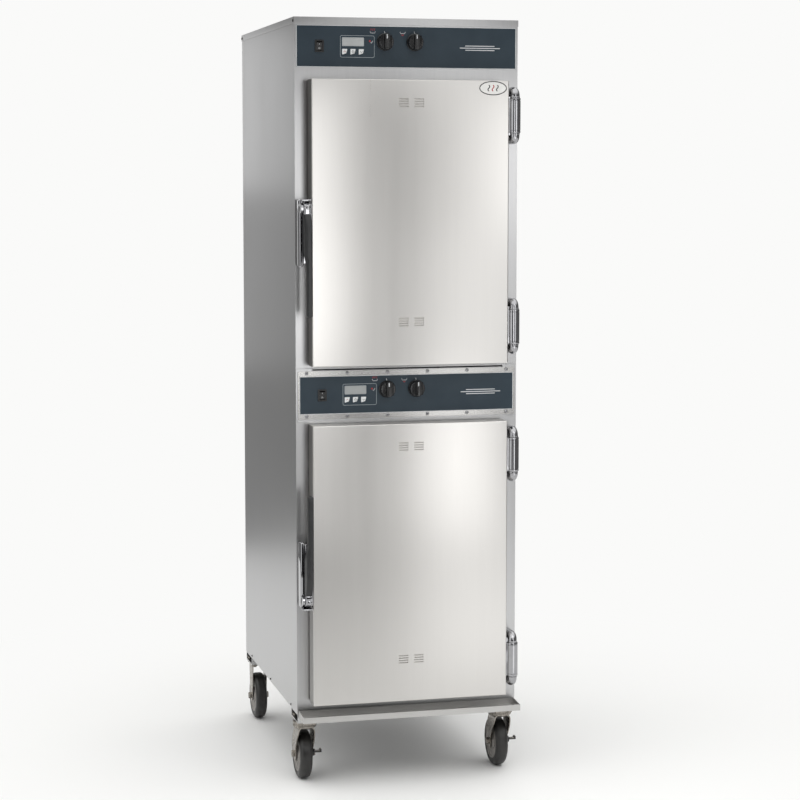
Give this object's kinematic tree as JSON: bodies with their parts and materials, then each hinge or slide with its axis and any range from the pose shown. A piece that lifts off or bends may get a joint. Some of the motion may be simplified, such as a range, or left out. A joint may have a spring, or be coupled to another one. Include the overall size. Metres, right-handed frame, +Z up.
{
  "type": "proofing cabinet",
  "caption": "Tall stainless two-compartment proofing and holding cabinet on casters: hinged doors with latches, control panels, wire shelves and a front drip tray.",
  "frame": {"origin": "on the floor, under the middle of the cabinet's outline", "axes": "+Z up, front towards -Y, hinges on +X, latches on -X"},
  "size_m": [0.5917, 0.8526, 1.925],
  "materials": {
    "casing_steel": "satin",
    "door_steel": "satin",
    "liner_steel": "satin",
    "rack_steel": "gloss",
    "mineral_wool": "matte",
    "cable_jacket": "satin",
    "overlay_film": "satin",
    "display_plastic": "satin",
    "switch_plastic": "satin",
    "thermostat_case": "satin",
    "chrome_plate": "polished",
    "grip_plastic": "satin",
    "knob_plastic": "satin",
    "gasket_rubber": "matte",
    "badge_plastic": "gloss",
    "screw_steel": "satin",
    "gland_plastic": "matte",
    "zinc_steel": "satin",
    "brake_plastic": "satin",
    "wheel_rubber": "matte"
  },
  "bodies": {
    "cabinet": {"base_frame": "casing_steel", "left_side_panel": "casing_steel", "right_side_panel": "casing_steel", "back_panel": "casing_steel", "top_cover": "casing_steel", "front_frame": "casing_steel", "upper_liner": "liner_steel", "lower_liner": "liner_steel", "insulation": "mineral_wool", "heating_cables": "cable_jacket", "side_racks": "rack_steel", "upper_shelves": "rack_steel", "lower_shelves": "rack_steel", "drip_pans": "liner_steel", "control_overlays": "overlay_film", "lower_fascia": "casing_steel", "control_displays": "display_plastic", "switch_housings": "switch_plastic", "thermostats": "thermostat_case", "hinge_brackets": "chrome_plate", "latch_strikes": "door_steel", "front_caster_plates": "zinc_steel", "rear_forks": "zinc_steel", "casing_screws": "screw_steel", "caster_bolts": "zinc_steel", "cord_gland": "gland_plastic"},
    "upper_door": {"upper_door_skin": "door_steel", "upper_door_inner": "door_steel", "upper_door_core": "mineral_wool", "upper_door_gasket": "gasket_rubber", "upper_door_knuckles": "chrome_plate", "upper_latch_housing": "chrome_plate", "door_badge": "badge_plastic"},
    "lower_door": {"lower_door_skin": "door_steel", "lower_door_inner": "door_steel", "lower_door_core": "mineral_wool", "lower_door_gasket": "gasket_rubber", "lower_door_knuckles": "chrome_plate", "lower_latch_housing": "chrome_plate"},
    "upper_latch": {"upper_latch_lever": "chrome_plate", "upper_latch_grip": "grip_plastic"},
    "lower_latch": {"lower_latch_lever": "chrome_plate", "lower_latch_grip": "grip_plastic"},
    "drip_tray": {"front_drip_tray": "casing_steel"},
    "upper_cook_knob_body": {"upper_cook_knob": "knob_plastic"},
    "upper_hold_knob_body": {"upper_hold_knob": "knob_plastic"},
    "lower_cook_knob_body": {"lower_cook_knob": "knob_plastic"},
    "lower_hold_knob_body": {"lower_hold_knob": "knob_plastic"},
    "upper_rocker_body": {"upper_rocker": "switch_plastic"},
    "lower_rocker_body": {"lower_rocker": "switch_plastic"},
    "left_swivel": {"front_left_fork": "zinc_steel", "front_left_axle": "zinc_steel"},
    "right_swivel": {"front_right_fork": "zinc_steel", "front_right_axle": "zinc_steel"},
    "left_brake": {"front_left_brake": "brake_plastic"},
    "right_brake": {"front_right_brake": "brake_plastic"},
    "front_left_roller": {"front_left_wheel": "wheel_rubber"},
    "front_right_roller": {"front_right_wheel": "wheel_rubber"},
    "rear_left_roller": {"rear_left_wheel": "wheel_rubber"},
    "rear_right_roller": {"rear_right_wheel": "wheel_rubber"}
  },
  "joints": [
    {"name": "lower_door_hinge", "type": "hinge", "parent": "cabinet", "child": "lower_door", "pos_m": [0.2627, -0.39525, 0.5685], "axis": [0, 0, 1], "range_deg": [0, 180]},
    {"name": "upper_door_hinge", "type": "hinge", "parent": "cabinet", "child": "upper_door", "pos_m": [0.2627, -0.39525, 1.4195], "axis": [0, 0, 1], "range_deg": [0, 180]},
    {"name": "upper_latch_pivot", "type": "hinge", "parent": "upper_door", "child": "upper_latch", "pos_m": [-0.268, -0.39525, 1.4575], "axis": [-1, 0, 0], "range_deg": [0, 25], "stiffness_Nm_per_rad": 3},
    {"name": "lower_latch_pivot", "type": "hinge", "parent": "lower_door", "child": "lower_latch", "pos_m": [-0.268, -0.39525, 0.4835], "axis": [1, 0, 0], "range_deg": [0, 25], "stiffness_Nm_per_rad": 3, "springref_deg": -11.46},
    {"name": "upper_cook_turn", "type": "hinge", "parent": "cabinet", "child": "upper_cook_knob_body", "pos_m": [-0.0575, -0.35025, 1.866], "axis": [0, 1, 0], "range_deg": [0, 290]},
    {"name": "lower_cook_turn", "type": "hinge", "parent": "cabinet", "child": "lower_cook_knob_body", "pos_m": [-0.0535, -0.35025, 1.0035], "axis": [0, 1, 0], "range_deg": [0, 290]},
    {"name": "upper_hold_turn", "type": "hinge", "parent": "cabinet", "child": "upper_hold_knob_body", "pos_m": [0.0185, -0.35025, 1.866], "axis": [0, 1, 0], "range_deg": [0, 290]},
    {"name": "lower_hold_turn", "type": "hinge", "parent": "cabinet", "child": "lower_hold_knob_body", "pos_m": [0.0225, -0.35025, 1.0035], "axis": [0, 1, 0], "range_deg": [0, 290]},
    {"name": "upper_rocker_tilt", "type": "hinge", "parent": "cabinet", "child": "upper_rocker_body", "pos_m": [-0.2235, -0.33485, 1.854], "axis": [-1, 0, 0], "range_deg": [0, 16]},
    {"name": "lower_rocker_tilt", "type": "hinge", "parent": "cabinet", "child": "lower_rocker_body", "pos_m": [-0.2195, -0.33685, 0.9915], "axis": [-1, 0, 0], "range_deg": [0, 16]},
    {"name": "drip_tray_slide", "type": "slide", "parent": "cabinet", "child": "drip_tray", "axis": [0, -1, 0], "range_m": [0, 0.06]},
    {"name": "left_swivel_turn", "type": "hinge", "parent": "cabinet", "child": "left_swivel", "pos_m": [-0.259, -0.29825, 0.14], "axis": [0, 0, 1], "continuous": true},
    {"name": "front_left_roll", "type": "hinge", "parent": "left_swivel", "child": "front_left_roller", "pos_m": [-0.259, -0.26825, 0.0635], "axis": [1, 0, 0], "continuous": true},
    {"name": "rear_left_roll", "type": "hinge", "parent": "cabinet", "child": "rear_left_roller", "pos_m": [-0.259, 0.36275, 0.0635], "axis": [1, 0, 0], "continuous": true},
    {"name": "left_brake_press", "type": "hinge", "parent": "left_swivel", "child": "left_brake", "pos_m": [-0.259, -0.26825, 0.0635], "axis": [1, 0, 0], "range_deg": [0, 20]},
    {"name": "right_swivel_turn", "type": "hinge", "parent": "cabinet", "child": "right_swivel", "pos_m": [0.259, -0.29825, 0.14], "axis": [0, 0, 1], "continuous": true},
    {"name": "front_right_roll", "type": "hinge", "parent": "right_swivel", "child": "front_right_roller", "pos_m": [0.259, -0.26825, 0.0635], "axis": [1, 0, 0], "continuous": true},
    {"name": "rear_right_roll", "type": "hinge", "parent": "cabinet", "child": "rear_right_roller", "pos_m": [0.259, 0.36275, 0.0635], "axis": [1, 0, 0], "continuous": true},
    {"name": "right_brake_press", "type": "hinge", "parent": "right_swivel", "child": "right_brake", "pos_m": [0.259, -0.26825, 0.0635], "axis": [1, 0, 0], "range_deg": [0, 20]}
  ]
}
